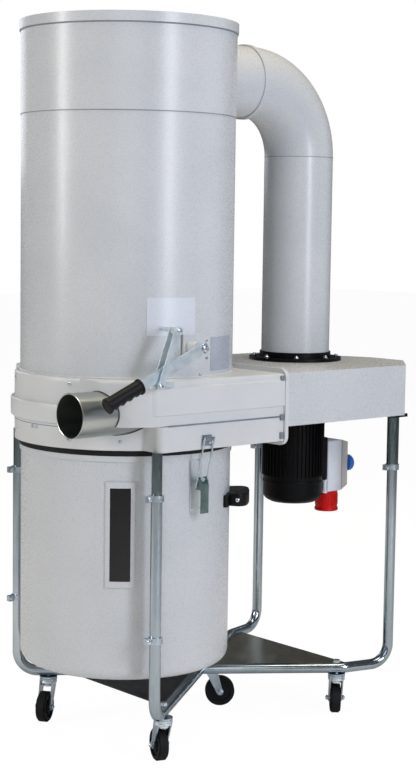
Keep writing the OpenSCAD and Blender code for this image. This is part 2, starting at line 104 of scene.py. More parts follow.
def new_material(name):
    """An empty node material and its tree."""
    made = bpy.data.materials.new(name)
    made.use_nodes = True
    made.node_tree.nodes.clear()
    return made, made.node_tree


def output(tree, shader):
    """Puts a shader on the surface."""
    add(tree, "ShaderNodeOutputMaterial", links={"Surface": shader.outputs["BSDF"]})


def grain(tree, per_metre, detail=2.0, stretch=(1, 1, 1)):
    """Noise on the object's own place, with so many cells to the metre."""
    place = add(tree, "ShaderNodeTexCoord").outputs["Object"]
    mapped = add(tree, "ShaderNodeMapping", {"Scale": stretch}, {"Vector": place})
    return add(tree, "ShaderNodeTexNoise", {"Scale": per_metre, "Detail": detail},
               {"Vector": mapped.outputs["Vector"]}).outputs["Fac"]


def ramp(tree, source, low, high, start=0.35, end=0.65):
    """A blend from one colour to another over a factor."""
    made = add(tree, "ShaderNodeValToRGB", links={"Fac": source})
    made.color_ramp.elements[0].position = start
    made.color_ramp.elements[0].color = low
    made.color_ramp.elements[1].position = end
    made.color_ramp.elements[1].color = high
    return made.outputs["Color"]


def grey(value):
    """A plain number as a ramp's colour."""
    return (value, value, value, 1.0)


def bump(tree, height, strength, depth):
    """A normal that follows a height."""
    return add(tree, "ShaderNodeBump", {"Strength": strength, "Distance": depth},
               {"Height": height}).outputs["Normal"]


ORANGE_PEEL = 3.2 * MM         # a cell of the powder coat's texture, coarse enough to show
CRYSTAL = 12 * MM              # a crystal of hot-dip zinc


def powder_coat(name, base, shade, rough=0.3):
    """Textured polyester powder coat on sheet steel: fine orange peel that breaks the shine up."""
    made, tree = new_material(name)
    peel = grain(tree, 1 / ORANGE_PEEL, 3.0)
    cloud = grain(tree, 6.0, 2.0)
    body = ramp(tree, cloud, colour(shade), colour(base))
    speck = ramp(tree, peel, grey(0.975), grey(1.0), 0.4, 0.6)
    tint = add(tree, "ShaderNodeMix", {"data_type": "RGBA", "blend_type": "MULTIPLY"})
    tint.inputs[0].default_value = 1.0
    tree.links.new(body, tint.inputs[6])
    tree.links.new(speck, tint.inputs[7])
    gloss = ramp(tree, peel, grey(rough - 0.07), grey(rough + 0.07))
    output(tree, add(tree, "ShaderNodeBsdfPrincipled", {"IOR": 1.5},
                     {"Base Color": tint.outputs[2], "Roughness": gloss,
                      "Normal": bump(tree, peel, 0.35, 0.35 * MM)}))
    return made


def metal(name, base, shade, rough, cells, stretch=(1, 1, 1), spread=0.08, depth=0.04):
    """Bare or plated metal: two tones and a roughness that wander over the surface."""
    made, tree = new_material(name)
    cloud = grain(tree, cells, 4.0, stretch)
    fine = grain(tree, cells * 14, 2.0, stretch)
    output(tree, add(tree, "ShaderNodeBsdfPrincipled", {"Metallic": 1.0},
                     {"Base Color": ramp(tree, cloud, colour(shade), colour(base)),
                      "Roughness": ramp(tree, fine, grey(rough - spread), grey(rough + spread)),
                      "Normal": bump(tree, fine, 0.2, depth * MM)}))
    return made


def moulded(name, base, shade, rough, cells=900.0, strength=0.25, spread=0.05, ior=1.49):
    """Moulded plastic or rubber: a fine spark-eroded grain and faintly uneven colour."""
    made, tree = new_material(name)
    fine = grain(tree, cells, 3.0)
    cloud = grain(tree, 14.0)
    output(tree, add(tree, "ShaderNodeBsdfPrincipled", {"IOR": ior},
                     {"Base Color": ramp(tree, cloud, colour(shade), colour(base)),
                      "Roughness": ramp(tree, fine, grey(rough - spread), grey(rough + spread)),
                      "Normal": bump(tree, fine, strength, 0.12 * MM)}))
    return made


def spangled(name, base, shade, rough):
    """Hot-dip galvanised sheet: crystals, each with its own tone and shine."""
    made, tree = new_material(name)
    place = add(tree, "ShaderNodeTexCoord").outputs["Object"]
    crystals = add(tree, "ShaderNodeTexVoronoi", {"Scale": 1 / CRYSTAL}, {"Vector": place})
    one = add(tree, "ShaderNodeRGBToBW", links={"Color": crystals.outputs["Color"]}).outputs["Val"]
    output(tree, add(tree, "ShaderNodeBsdfPrincipled", {"Metallic": 1.0},
                     {"Base Color": ramp(tree, one, colour(shade), colour(base), 0.2, 0.8),
                      "Roughness": ramp(tree, one, grey(rough - 0.06), grey(rough + 0.08), 0.2, 0.8),
                      "Normal": bump(tree, grain(tree, 90.0), 0.15, 0.3 * MM)}))
    return made


# Sprayed and baked paint on sheet: pale and half matt, with long soft highlights.
PAINT = powder_coat("powder_coat_light_grey", "#C9CCCF", "#C3C7CA")
HOUSING = powder_coat("housing_enamel_off_white", "#D2D4D5", "#CBCECF", 0.36)

# Plated drawn tube: bright and cool, with streaks that run up and down.
ZINC = metal("zinc_plated_tube", "#B4BFC6", "#98A5AE", 0.17, 18.0, (1, 1, 0.25), 0.05)
# The legs' upper stubs and sleeves: the same tube painted darker, a painted shade.
SHADED_ZINC = metal("painted_shade_zinc_sleeve", "#7E8C90", "#6A787C", 0.2, 18.0, (1, 1, 0.25), 0.05)

# Plated pressings: satin and clouded, the plain ones tinted by their passivation; the paler copy is painted
# light, the green one a painted reflection.
PLATE_ZINC = metal("zinc_plated_pressing", "#C4CFD8", "#A8B6C2", 0.3, 40.0)
# A paler copy of the plated pressing, painted light, for the lever, its guide and the swivel races.
LIT_ZINC = metal("painted_light_zinc_pressing", "#EAF3F7", "#CEDBE1", 0.42, 40.0)
# The latch levers: plated zinc with a painted green reflection in its colour.
GREEN_REFLECTION_ZINC = metal("painted_reflection_zinc_pressing", "#7C918E", "#687B78", 0.4, 40.0)
PLATE_STEEL = metal("light_zinc_plate", "#E2E7EA", "#D2D9DD", 0.45, 40.0)

# Small fasteners: pale and shiny, so that they sparkle against the paint.
BRIGHT_ZINC = metal("bright_zinc_fastener", "#DDE3E8", "#C4CCD4", 0.24, 60.0)

# Galvanised pipe: greyer and duller than the plated tube, with faint streaks along it.
STEEL_PIPE = metal("galvanised_pipe", "#B7BCB9", "#A3A9A6", 0.32, 9.0, (0.2, 1, 1), 0.04, 0.01)

# Galvanised sheet: mottled by its crystals, with a warm tint that is a painted reflection; the front tray
# is painted darker, a painted shade, as it lies in shade.
TRAY = spangled("galvanised_tray_sheet", "#B5AE9C", "#A09A8A", 0.36)
DARK_TRAY = spangled("shaded_tray_sheet", "#5E5F62", "#525356", 0.36)

# Rubber: deep and dull, so that only edges catch the light.
RUBBER = moulded("epdm_seal_rubber", "#0F1012", "#0A0B0C", 0.62, ior=1.35)
TYRE = moulded("grey_black_tyre_rubber", "#141415", "#0D0E0F", 0.66, 600.0, 0.3, ior=1.35)

# Black moulding and enamel: darker than rubber, with a soft sheen on every round edge.
BLACK_PLASTIC = moulded("black_polyamide", "#0B0C0D", "#070809", 0.42, ior=1.3)
BLACK_PAINT = moulded("black_motor_enamel", "#07080A", "#040506", 0.42, 500.0, 0.2, ior=1.22)

# The window: smooth and dark, with a clear reflection.
SMOKED = moulded("smoked_acrylic", "#08090A", "#060607", 0.12, 40.0, 0.02, 0.02)

# Switch gear: clean moulded colours, without the paint's orange peel.
GREY_ABS = moulded("light_grey_abs", "#DCDFE8", "#D3D6E0", 0.36)
# The lid's darker warm grey is painted shade.
SHADED_LID_ABS = moulded("painted_shade_lid_abs", "#C9C6C2", "#BFBCB9", 0.42)
BLUE_ABS = moulded("blue_polyamide", "#2C66BE", "#285CAC", 0.34, ior=1.38)
RED_ABS = moulded("red_polyamide", "#D60600", "#C40500", 0.34, ior=1.33)

# Film with nothing printed on it: flat and smooth, one paler and one darker than the paint round it.
WHITE_FILM = moulded("white_vinyl_film", "#D6DAE2", "#D0D5DD", 0.3, 300.0, 0.1)
GREY_FILM = moulded("silver_grey_film", "#AEB4BF", "#A2A9B5", 0.3, 300.0, 0.1)

# Joint sealant: matt lines where two sheets meet.
SEALANT = moulded("grey_joint_sealant", "#8A8F95", "#7C8187", 0.6)
SEAM_GREY = moulded("blue_grey_seam_strip", "#7C8791", "#6C7781", 0.5)
DARK_GAP = moulded("dark_joint_sealant", "#3E4245", "#303437", 0.6)


# ---------------------------------------------------------------- ways of making
CORE = 0.4 * MM                # radius at the middle of a turned piece, too small to show


def start(kind, **settings):
    """Adds one primitive with nothing else selected."""
    if bpy.context.object and bpy.context.object.mode != "OBJECT":
        bpy.ops.object.mode_set(mode="OBJECT")
    bpy.ops.object.select_all(action="DESELECT")
    getattr(bpy.ops.mesh, "primitive_" + kind + "_add")(**settings)
    return bpy.context.object


def modify(obj, kind, **settings):
    """Adds a modifier and applies it."""
    made = obj.modifiers.new(kind.lower(), kind)
    for key, value in settings.items():
        setattr(made, key, value)
    bpy.context.view_layer.objects.active = obj
    bpy.ops.object.modifier_apply(modifier=made.name)


def bevel(obj, width, segments=2, **settings):
    """Rounds a piece's edges."""
    modify(obj, "BEVEL", width=width, segments=segments, limit_method="ANGLE", **settings)


def cut(obj, cutter):
    """Takes the cutter out of a piece; the cutter goes."""
    modify(obj, "BOOLEAN", operation="DIFFERENCE", object=cutter, solver="EXACT")
    bpy.data.objects.remove(cutter)


def subdivide(obj, cuts):
    """Divides every edge of a piece."""
    bpy.context.view_layer.objects.active = obj
    bpy.ops.object.mode_set(mode="EDIT")
    bpy.ops.mesh.select_all(action="SELECT")
    bpy.ops.mesh.subdivide(number_cuts=cuts)
    bpy.ops.object.mode_set(mode="OBJECT")


def place(obj, matrix):
    """Turns and shifts the mesh itself, so the object stays at the origin."""
    obj.data.transform(matrix @ obj.matrix_world)
    obj.matrix_world = Matrix.Identity(4)
    return obj


def pick(pieces):
    """Selects these pieces and nothing else, with the first of them active."""
    bpy.ops.object.select_all(action="DESELECT")
    for obj in pieces:
        obj.select_set(True)
    bpy.context.view_layer.objects.active = pieces[0]


def join(pieces):
    """Joins pieces into the first of them."""
    pick(pieces)
    if len(pieces) > 1:
        bpy.ops.object.join()
    return pieces[0]


def settle(obj, name, material, body="root", smooth=35):
    """Names a finished piece, shades it and lets it ride on its body."""
    place(obj, Matrix.Identity(4))
    obj.name = obj.data.name = name
    obj.data.materials.clear()
    obj.data.materials.append(material)
    pick([obj])
    bpy.ops.object.shade_smooth_by_angle(angle=math.radians(smooth))
    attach(obj, body)
    return obj


def lathe(profile, steps=48):
    """Spins a closed outline of (radius, height) points round Z."""
    obj = start("plane", size=MM)
    bpy.ops.object.mode_set(mode="EDIT")
    bpy.ops.mesh.merge(type="CENTER")
    bpy.ops.transform.translate(value=(profile[0][0], 0, profile[0][1]))
    for (r0, z0), (r1, z1) in zip(profile, profile[1:] + profile[:1]):
        bpy.ops.mesh.extrude_region_move(TRANSFORM_OT_translate={"value": (r1 - r0, 0, z1 - z0)})
    bpy.ops.mesh.select_all(action="SELECT")
    bpy.ops.mesh.remove_doubles(threshold=1e-6)
    bpy.ops.mesh.spin(steps=steps, angle=math.tau, center=(0, 0, 0), axis=(0, 0, 1))
    bpy.ops.mesh.select_all(action="SELECT")
    bpy.ops.mesh.remove_doubles(threshold=1e-6)
    bpy.ops.mesh.normals_make_consistent(inside=False)
    bpy.ops.object.mode_set(mode="OBJECT")
    return obj


def plain_box(centre, sides):
    """A box about its centre, with its edges still sharp."""
    return place(start("cube", size=1.0), Matrix.Translation(centre) @ Matrix.Diagonal((*sides, 1.0)))


def block(low, high, edge=1.0 * MM, segments=2):
    """A box between two corners with rounded edges."""
    low, high = Vector(low), Vector(high)
    obj = plain_box((low + high) / 2, high - low)
    bevel(obj, edge, segments)
    return obj


def facing(point, normal):
    """A matrix that stands a piece made along +Z on a point, pointing along normal."""
    aim = Vector(normal).normalized().to_track_quat("Z", "Y").to_matrix().to_4x4()
    return Matrix.Translation(Vector(point)) @ aim


def turned_by(stand, angles):
    """The stand turned about its own Z, once for each angle in degrees."""
    return [stand @ Matrix.Rotation(math.radians(angle), 4, "Z") for angle in angles]


def copies(master, matrices):
    """One joined mesh of the master at each matrix; the master goes."""
    made = []
    for matrix in matrices:
        obj = master.copy()
        obj.data = master.data.copy()
        bpy.context.scene.collection.objects.link(obj)
        made.append(place(obj, matrix))
    bpy.data.objects.remove(master)
    return join(made)


def pan_head(r, h):
    """A pan head screw with a round socket."""
    return lathe([(CORE, -h * 0.3), (r, -h * 0.3), (r, h * 0.45), (r * 0.8, h * 0.85), (r * 0.5, h),
                  (r * 0.36, h * 0.95), (r * 0.34, h * 0.35), (CORE, h * 0.3)], 20)


def hex_nut(r, h, bolt=0.55, rise=0.5):
    """A hexagon nut with its bolt end showing."""
    nut = start("cylinder", vertices=6, radius=r, depth=h, location=(0, 0, h / 2))
    bevel(nut, r * 0.1)
    top = h * (1 + rise)
    end = lathe([(CORE, 0), (r * bolt, 0), (r * bolt, top - r * 0.1), (r * bolt - r * 0.1, top),
                 (CORE, top)], 20)
    return join([nut, end])


def round_drum(angle, z, r):
    """A point on a circle about the drum's axis, and the way out from it."""
    out = Vector((math.cos(math.radians(angle)), math.sin(math.radians(angle)), 0))
    return Vector((DRUM.x, DRUM.y, z)) + out * r, out


def at(x, y, z):
    """A place in millimetres from the drum's axis and the floor."""
    return Vector((DRUM.x + x * MM, DRUM.y + y * MM, z * MM))


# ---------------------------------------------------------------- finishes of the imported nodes
FINISHES = {
    PAINT: ["drum_lid", "drum_upper", "drum_lower", "elbow", "elbow_collar", "duct_pipe", "fan_box",
            "fan_box_cover", "collection_bin", "window_frame", "lever_bearing"],
    HOUSING: ["joint_frame", "separator_upper", "separator_lower"],
    ZINC: ["stand_tube_long", "stand_tube_cross"],
    SHADED_ZINC: ["leg_stubs", "leg_sleeves"],
    LIT_ZINC: ["shaker_lever", "lever_guide"],
    GREEN_REFLECTION_ZINC: ["front_latch_lever", "rear_latch_lever"],
    PLATE_STEEL: ["latch_plates"],
    PLATE_ZINC: ["latch_keepers", "front_latch_bail", "rear_latch_bail", "leg_clamps",
                 "caster_mounts"] + ["caster_fork_%d" % i for i in range(1, 5)],
    STEEL_PIPE: ["inlet_pipe"],
    TRAY: ["rear_tray"],
    DARK_TRAY: ["front_tray"],
    RUBBER: ["bin_seal"],
    SMOKED: ["sight_window"],
    BLACK_PLASTIC: ["bin_handle", "lever_grip"],
    BLACK_PAINT: ["motor_body", "motor_fan_cover", "duct_flange", "stand_brackets"],
    GREY_ABS: ["switch_box"],
    BLUE_ABS: ["switch_cap"],
    RED_ABS: ["plug_inlet"],
    TYRE: ["caster_wheel_%d" % i for i in range(1, 5)],
}
for material, nodes in FINISHES.items():
    for node in nodes:
        for slot in frame["nodes"][node].material_slots:
            slot.material = material


# ---------------------------------------------------------------- separator housing
# All in millimetres, along x and y from the drum's axis and up from the floor.
HOUSING_R = 262                # the round end
HOUSING_HALF = 284             # to the flat sides
HOUSING_RIGHT = 242            # to the clamping frame
INLET_LEFT = -230              # the wall that the inlet enters
INLET_ROUND = 112              # the swollen corner beside it
NEAR_PANEL_LEFT = -150         # the raised panel on the inlet's side starts here
FLAT_LEFT = -128               # and the one on the far side here
PANEL_ROUND = 18
PANEL_PROUD = 5
PANEL_EDGES = (807, 811, 868, 872)
SEAM_GAP = 1.5                 # between the lower moulding's top and the upper one's foot
CHAMBER_R = 236                # the room inside
CHAMBER_HEIGHT = 200
ROOF = 4
BAND_PROUD = 9
# The band and the seam's line on the round end: first and last angle in degrees, foot and head.
BAND = (112, 211.5, 782, 824)
SEAM_LINE = (122, 215, 773.2, 774.8)


def box_reach(direction, left, right, half, corner):
    """How far a ray from the drum's axis goes before it leaves a box with one rounded corner."""
    reach = min((right if direction.x > 0 else -left) / max(abs(direction.x), 1e-9),
                half / max(abs(direction.y), 1e-9))
    heart = Vector((left + corner, -(half - corner)))
    touch = direction * reach
    if corner and touch.x < heart.x and touch.y < heart.y:
        along = direction.dot(heart)
        reach = along + math.sqrt(max(0.0, corner ** 2 - heart.length_squared + along ** 2))
    return reach


def housing_outline(flat_grow, inset, angles):
    """Outline of the scroll: a round end, a flat side each way and a swollen corner at the inlet."""
    flat = HOUSING_HALF + flat_grow - inset
    points = []
    for angle in angles:
        way = Vector((math.cos(angle), math.sin(angle)))
        reach = HOUSING_R - inset
        if way.y < 0:
            reach = max(reach, box_reach(way, INLET_LEFT, HOUSING_RIGHT, HOUSING_HALF - inset, INLET_ROUND),
                        box_reach(way, NEAR_PANEL_LEFT, HOUSING_RIGHT, flat, PANEL_ROUND))
        else:
            mirrored = Vector((way.x, -way.y))
            reach = max(reach, box_reach(mirrored, FLAT_LEFT, HOUSING_RIGHT, flat, PANEL_ROUND))
        if way.x > 0:
            reach = min(reach, HOUSING_RIGHT / way.x)
        points.append(way * reach)
    return points


def arc_block(inner, outer, start_angle, end_angle, bottom, top, cuts, ends=0.0):
    """A block bent round the drum's axis, in millimetres and degrees; ends draws its outer corners in."""
    made = start("cube", size=1.0)
    subdivide(made, cuts)
    for v in made.data.vertices:
        turn = math.radians(start_angle + (v.co.x + 0.5) * (end_angle - start_angle))
        full = outer - (outer - inner) * ends * abs(2 * v.co.x) ** 8
        r = inner + (v.co.y + 0.5) * (full - inner)
        v.co = at(r * math.cos(turn), r * math.sin(turn), bottom + (v.co.z + 0.5) * (top - bottom))
    bpy.ops.object.mode_set(mode="EDIT")
    bpy.ops.mesh.select_all(action="SELECT")
    bpy.ops.mesh.dissolve_limited(angle_limit=math.radians(0.2))
    bpy.ops.mesh.normals_make_consistent(inside=False)
    bpy.ops.object.mode_set(mode="OBJECT")
    return made


def in_order(mesh, indices):
    """Points of a mesh, sorted by their angle round the axis."""
    return sorted(indices, key=lambda i: math.atan2(mesh.vertices[i].co.y, mesh.vertices[i].co.x))


def separator_housing():
    """The upper moulding, with a soft top edge, a band round it and a raised panel on its sides."""
    low = SEAM_Z / MM + SEAM_GAP
    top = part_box("separator_upper")[1].z / MM
    corner = math.atan2(HOUSING_HALF, HOUSING_RIGHT)
    panel_corner = math.atan2(HOUSING_HALF + 9, HOUSING_RIGHT)
    inlet_corner = math.atan2(-280, -144)      # where the swollen corner runs into the raised panel
    angles = sorted([math.radians(a) for a in range(-180, 180, 2)]
                    + [corner, -corner, -panel_corner, panel_corner]
                    + [inlet_corner + math.radians(step) for step in (-1.3, -0.7, 0.3, 0.9)])
    foot, full_foot, full_head, head = PANEL_EDGES
    # height, how far the flat sides stand out, how far the whole outline is drawn in
    levels = [(low, 0, 1.2), (low + 1.2, 0, 0), (foot, 0, 0), (full_foot, PANEL_PROUD, 0),
              (full_head, PANEL_PROUD, 0), (head, 0, 0),
              (top - 5, 0, 0), (top - 2.4, 0, 0.8), (top - 0.7, 0, 2.4), (top, 0, 5)]
    body = start("circle", vertices=len(angles), radius=1.0, fill_type="NGON")
    mesh = body.data
    ring = in_order(mesh, range(len(angles)))
    for level, (z, flat_grow, inset) in enumerate(levels):
        if level:
            bpy.ops.object.mode_set(mode="EDIT")
            bpy.ops.mesh.extrude_region_move(TRANSFORM_OT_translate={"value": (0, 0, 1 * MM)})
            bpy.ops.object.mode_set(mode="OBJECT")
            ring = in_order(mesh, [v.index for v in mesh.vertices if v.select])
        for index, point in zip(ring, housing_outline(flat_grow, inset, angles)):
            mesh.vertices[index].co = (point.x * MM, point.y * MM, z * MM)
    place(body, Matrix.Translation((DRUM.x, DRUM.y, 0)))
    bpy.ops.object.mode_set(mode="EDIT")
    bpy.ops.mesh.select_all(action="SELECT")
    bpy.ops.mesh.normals_make_consistent(inside=False)
    bpy.ops.object.mode_set(mode="OBJECT")
    chamber = start("cylinder", vertices=96, radius=CHAMBER_R * MM, depth=CHAMBER_HEIGHT * MM,
                    location=at(0, 0, top - ROOF - CHAMBER_HEIGHT / 2))
    pipe = middle("inlet_pipe")
    bore = start("cylinder", vertices=64, radius=size("inlet_pipe").y / 2 + 0.2 * MM, depth=400 * MM,
                 location=(DRUM.x - 300 * MM, pipe.y, pipe.z), rotation=(0, math.pi / 2, 0))
    cut(body, chamber)
    cut(body, bore)
    settle(body, "separator_moulding", HOUSING, smooth=32)
    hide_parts("separator_upper")
    band = arc_block(HOUSING_R - 1, HOUSING_R + BAND_PROUD, *BAND, 39)
    bevel(band, 2.6 * MM, 3)
    settle(band, "separator_band", HOUSING)
    line = arc_block(HOUSING_R - 0.4, HOUSING_R + 0.3, *SEAM_LINE, 39)
    settle(line, "round_end_seam", SEAM_GREY, smooth=50)


def wall_ring(name, z, height, proud, r, material):
    """A thin bead round the drum."""
    profile = [(r - 1 * MM, z), (r + proud * 0.6, z), (r + proud, z + height * 0.3),
               (r + proud, z + height * 0.7), (r + proud * 0.6, z + height), (r - 1 * MM, z + height)]
    bead = place(lathe(profile, 144), Matrix.Translation((DRUM.x, DRUM.y, 0)))
    return settle(bead, name, material)


def seams():
    """Beads round the drum, the mouldings' seam on the inlet's side and the bead at the duct's elbow."""
    wall_ring("drum_seam_bead", DRUM_SEAM - 1.4 * MM, 2.0 * MM, 0.35 * MM, DRUM_R + 0.9 * MM, SEALANT)
    wall_ring("lid_seam_bead", LID_FOOT - 3.2 * MM, 3.0 * MM, 1.4 * MM, DRUM_R + 1 * MM, SEALANT)
    wall_ring("drum_foot_bead", DRUM_FOOT, 3.2 * MM, 2.4 * MM, DRUM_R, HOUSING)
    strip = block(at(-104, -HOUSING_HALF - 1, SEAM_Z / MM - 1.2),
                  at(236, -HOUSING_HALF + 2.5, SEAM_Z / MM + 2.6), 0.5 * MM)
    settle(strip, "separator_seam_strip", SEAM_GREY)
    elbow_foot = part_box("elbow")[0].z
    profile = [(DUCT_R - 1 * MM, -0.8 * MM), (DUCT_R + 0.5 * MM, -0.8 * MM), (DUCT_R + 0.9 * MM, 0),
               (DUCT_R + 0.5 * MM, 0.8 * MM), (DUCT_R - 1 * MM, 0.8 * MM)]
    bead = place(lathe(profile, 96), Matrix.Translation((DUCT.x, DUCT.y, elbow_foot)))
    settle(bead, "duct_seam_bead", SEALANT)


# ---------------------------------------------------------------- fasteners
def flange_nuts():
    """Eight bright nuts hold the duct's flange down, each left at its own turn."""
    low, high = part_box("duct_flange")
    circle = (DUCT_R + (high.x - low.x) / 2) / 2 + 2.5 * MM
    centre = Vector((DUCT.x, DUCT.y, low.z + 8 * MM))
    spots = []
    for i in range(8):
        angle = i * math.pi / 4 + 0.06
        way = Vector((math.cos(angle), math.sin(angle), 0))
        spots.append(Matrix.Translation(centre + way * circle) @ Matrix.Rotation(i * 1.1, 4, "Z"))
    settle(copies(hex_nut(6.2 * MM, 5 * MM), spots), "flange_nuts", BRIGHT_ZINC, smooth=30)


# Screws on the round end: angle in degrees and height in mm. They stand on both sides, apart
# from the last, whose place on the inlet's side is taken by the swollen corner.
HOUSING_SCREWS = ((156.6, 872), (178.4, 768), (157.1, 747), (131.0, 747), (112.0, 872))
FAR_SIDE_ONLY = HOUSING_SCREWS[-1]
# Screws on the fan box's wall: x from the drum's axis and height, mm.
FAN_BOX_SCREWS = ((300, 874), (520, 868), (520, 790), (430, 766))


def housing_screws():
    """Pan heads round both mouldings and painted ones on the fan box."""
    spots = []
    for screw in HOUSING_SCREWS:
        angle, z = screw
        for side in (-1, 1):
            if side < 0 and screw == FAR_SIDE_ONLY:
                continue
            point, out = round_drum(side * angle, z * MM, HOUSING_R * MM)
            spots.append(facing(point, out))
    settle(copies(pan_head(4.2 * MM, 2.6 * MM), spots), "housing_screws", PLATE_ZINC, smooth=30)
    spots = [facing(at(x, -HOUSING_HALF, z), (0, -1, 0)) for x, z in FAN_BOX_SCREWS]
    settle(copies(pan_head(3.2 * MM, 1.4 * MM), spots), "fan_box_screws", PAINT, smooth=30)


LINK_PIN = (-4, -254, 966)                     # mm, on the shaker shaft's plate
DRUM_RIVETS = ((34, 966), (35, 928), (15, 892))    # x from the drum's axis and height, mm
RIVETED_R = 249                                # mm, turns their x into an angle on the drum


def drum_rivets():
    """Three rivets and a link pin hold the shaker shaft's plate to the drum."""
    spots = [facing(at(*LINK_PIN), (0, -1, 0))]
    for x, z in DRUM_RIVETS:
        angle = math.degrees(math.asin(x / RIVETED_R)) - 90
        point, out = round_drum(angle, z * MM, DRUM_R)
        spots.append(facing(point, out))
    settle(copies(pan_head(3.6 * MM, 2.4 * MM), spots), "drum_rivets", PLATE_ZINC, smooth=30)


def pivot_bolt():
    """Bolt head and washer at the lever's pivot."""
    pivot = turning_points["shaker_lever_turn"]
    washer = lathe([(CORE, 0), (11 * MM, 0), (11 * MM, 1.4 * MM), (10.4 * MM, 2 * MM), (CORE, 2 * MM)], 32)
    head = place(hex_nut(8.6 * MM, 5.5 * MM, 0.3, 0.08), Matrix.Translation((0, 0, 2 * MM)))
    bolt = join([washer, head])
    place(bolt, facing((pivot.x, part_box("shaker_lever")[0].y, pivot.z), (0, -1, 0)))
    settle(bolt, "lever_pivot_bolt", BRIGHT_ZINC, "lever", 30)


def guide_bolts():
    """Bolts that hold the guide's two cheeks at its head and foot."""
    low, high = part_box("lever_guide")
    spots = [facing((low.x + 9 * MM, low.y, low.z + 7 * MM), (0, -1, 0)),
             facing((DRUM.x - 100 * MM, low.y, high.z - 8 * MM), (0, -1, 0))]
    bolts = copies(hex_nut(6.2 * MM, 4.4 * MM, 0.5, 0.5), spots)
    settle(bolts, "guide_bolts", BRIGHT_ZINC, smooth=30)


# ---------------------------------------------------------------- shaker grip
GRIP_LENGTH = 98 * MM
GRIP_R = 16.4 * MM
GRIP_FLANGE_R = 18.2 * MM
GRIP_RIBS = 24
GRIP_STEPS = 144               # points along the profile, six to a rib
FLANGE_STEPS = 8


def lever_grip():
    """Moulded grip: a flange at each end, ribs round it and four finger hollows underneath."""
    pivot = turning_points["shaker_lever_turn"]
    centre = middle("lever_grip")
    aim = Vector((centre.x - pivot.x, 0, centre.z - pivot.z)).normalized()
    profile = [(CORE, 0)]
    for i in range(GRIP_STEPS + 1):
        s = i * GRIP_LENGTH / GRIP_STEPS
        r = GRIP_R + 0.25 * MM * math.cos(s / GRIP_LENGTH * math.tau * GRIP_RIBS)
        if i < FLANGE_STEPS or i > GRIP_STEPS - FLANGE_STEPS:
            r = GRIP_FLANGE_R
        if i in (0, GRIP_STEPS):
            r = GRIP_FLANGE_R - 1 * MM
        profile.append((r, s))
    profile.append((CORE, GRIP_LENGTH))
    grip = lathe(profile, 40)
    for v in grip.data.vertices:
        s = v.co.z / GRIP_LENGTH
        if 0.08 < s < 0.92 and v.co.x < 0:
            depth = min(1.0, -v.co.x / (15 * MM))
            wave = 0.5 + 0.5 * math.cos((s - 0.08) / 0.84 * math.tau * 4)
            v.co.x *= 1 - 0.24 * depth * wave
        v.co.y *= 0.86
    up = aim.cross(Vector((0, 1, 0)))
    if up.z < 0:
        up = -up
    turn = Matrix((up, up.cross(aim), -aim)).transposed().to_4x4()
    place(grip, Matrix.Translation(centre + aim * (GRIP_LENGTH / 2)) @ turn)
    settle(grip, "shaker_grip", BLACK_PLASTIC, "lever", 40)
    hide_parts("lever_grip")


# ---------------------------------------------------------------- blank plates on the drum
def drum_plate(name, a0, a1, z0, z1, material):
    """A thin bare plate that follows the drum between two angles in degrees and two heights in mm."""
    plate = start("grid", x_subdivisions=24, y_subdivisions=4, size=1.0)
    r = DRUM_R + 0.2 * MM
    for v in plate.data.vertices:
        angle = math.radians(a0 + (v.co.x + 0.5) * (a1 - a0))
        z = (z0 + (v.co.y + 0.5) * (z1 - z0)) * MM
        v.co = (DRUM.x + math.cos(angle) * r, DRUM.y + math.sin(angle) * r, z)
    modify(plate, "SOLIDIFY", thickness=0.8 * MM, offset=1.0)
    settle(plate, name, material, smooth=50)


# ---------------------------------------------------------------- motor and switch box
FIN_ANGLES = range(28, 334, 8)  # degrees; the terminal box fills the rest
TERMINAL_HALF = 46 * MM
TERMINAL_Z = (568 * MM, 681 * MM)
GLAND_Z = 534 * MM


def motor():
    """Cooling fins, a terminal box and a cable gland, and a rim and grille on the fan cover."""
    low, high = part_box("motor_body")
    centre = (low + high) / 2
    axis = Matrix.Translation((centre.x, centre.y, 0))
    fin = plain_box((MOTOR_R + 1.2 * MM, 0, centre.z - 8 * MM),
                    (5.6 * MM, 2.2 * MM, high.z - low.z - 40 * MM))
    bevel(fin, 0.8 * MM)
    fins = copies(fin, turned_by(axis, FIN_ANGLES))
    settle(fins, "motor_fins", BLACK_PAINT, smooth=30)
    terminal = block((centre.x + 60 * MM, centre.y - TERMINAL_HALF, TERMINAL_Z[0]),
                     (centre.x + MOTOR_R + 6 * MM, centre.y + TERMINAL_HALF, TERMINAL_Z[1]), 4 * MM, 3)
    settle(terminal, "motor_terminal_box", BLACK_PAINT)
    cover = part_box("motor_fan_cover")
    rim = lathe([(MOTOR_R - 2 * MM, 0), (MOTOR_R + 1.6 * MM, 0), (MOTOR_R + 2 * MM, 1 * MM),
                 (MOTOR_R + 2 * MM, 4 * MM), (MOTOR_R + 1.4 * MM, 5 * MM), (MOTOR_R - 2 * MM, 5 * MM)], 72)
    place(rim, Matrix.Translation((centre.x, centre.y, cover[1].z - 5 * MM)))
    settle(rim, "fan_cover_rim", BLACK_PAINT)
    rings = []
    for i in range(7):
        r = (14 + 7 * i) * MM
        out = r + 3 * MM
        rings.append(lathe([(r, -1.6 * MM), (out, -1.6 * MM), (out, 1 * MM), (r, 1 * MM)], 48))
    grille = place(join(rings), Matrix.Translation((centre.x, centre.y, cover[0].z)))
    settle(grille, "fan_cover_grille", BLACK_PAINT)
    gland = lathe([(CORE, 0), (7 * MM, 0), (7 * MM, 5 * MM), (5.4 * MM, 6 * MM), (5.4 * MM, 30 * MM),
                   (7 * MM, 31 * MM), (7 * MM, 36 * MM), (CORE, 36 * MM)], 24)
    place(gland, Matrix.Translation((centre.x + MOTOR_R + 4 * MM, centre.y - 38 * MM, GLAND_Z)))
    settle(gland, "cable_gland", GREY_ABS)


